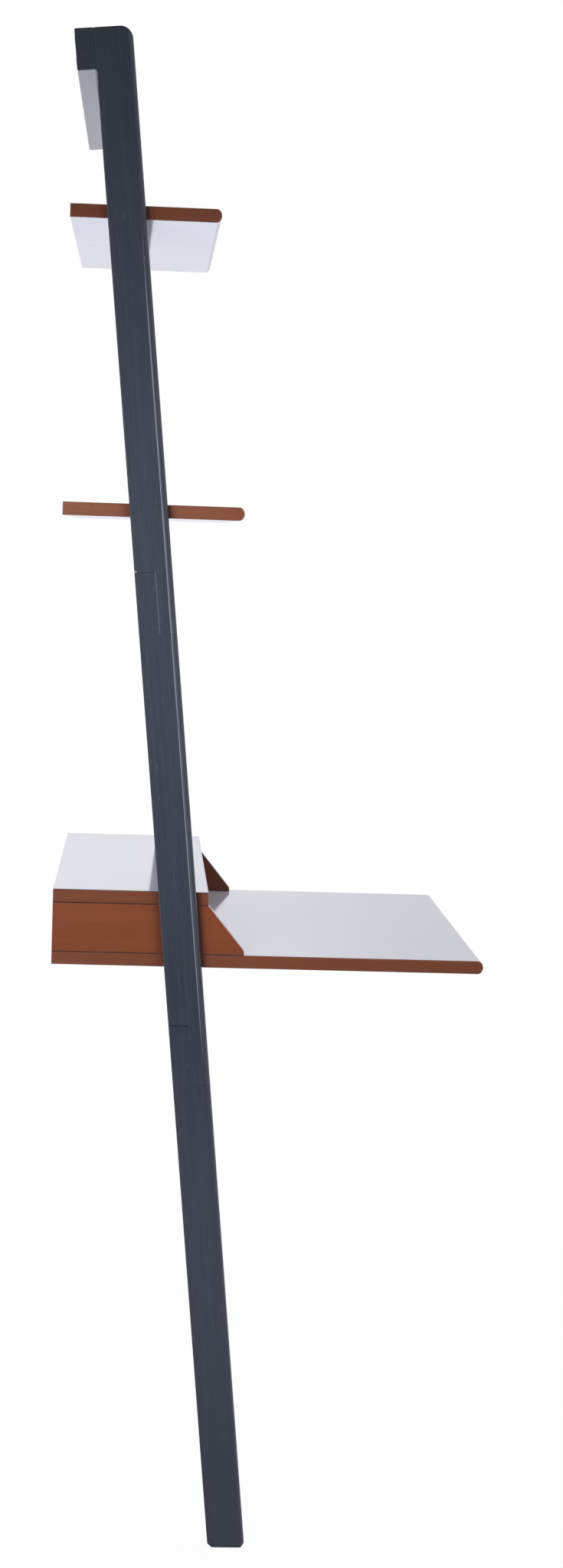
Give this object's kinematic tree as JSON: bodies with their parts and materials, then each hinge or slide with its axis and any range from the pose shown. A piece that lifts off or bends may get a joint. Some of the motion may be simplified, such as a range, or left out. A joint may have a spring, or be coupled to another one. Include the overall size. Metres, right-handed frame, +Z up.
{
  "type": "ladder desk",
  "caption": "Leaning ladder desk: sloping charcoal posts with stepped lap joints carry white shelves, a deep desk board and a low open hutch; the top rail rests on the wall.",
  "frame": {"origin": "on the floor, under the centre of the whole desk's box", "axes": "+Z up, +Y towards the wall that the top rail rests on, -Y the front of the desk, X along the shelves"},
  "size_m": [0.61, 0.526, 1.829],
  "materials": {
    "charcoal_paint": "satin charcoal paint on wood",
    "white_laminate": "semi-gloss white laminate on board",
    "brown_finish": "satin honey-brown finish",
    "zinc_steel": "zinc plated",
    "dowel_wood": "plain beech"
  },
  "bodies": {
    "root": {"desk_board": "white_laminate", "dowels": "dowel_wood", "hutch_back": "white_laminate", "hutch_top": "white_laminate", "lap_bolts": "zinc_steel", "left_cheek": "brown_finish", "left_desk_board_band": "brown_finish", "left_hutch_top_band": "brown_finish", "left_middle_shelf_band": "brown_finish", "left_post_lower": "charcoal_paint", "left_post_middle": "charcoal_paint", "left_post_upper": "charcoal_paint", "left_upper_shelf_band": "brown_finish", "middle_shelf": "white_laminate", "right_cheek": "brown_finish", "right_desk_board_band": "brown_finish", "right_hutch_top_band": "brown_finish", "right_middle_shelf_band": "brown_finish", "right_post_lower": "charcoal_paint", "right_post_middle": "charcoal_paint", "right_post_upper": "charcoal_paint", "right_upper_shelf_band": "brown_finish", "top_rail": "charcoal_paint", "upper_shelf": "white_laminate"}
  },
  "joints": []
}
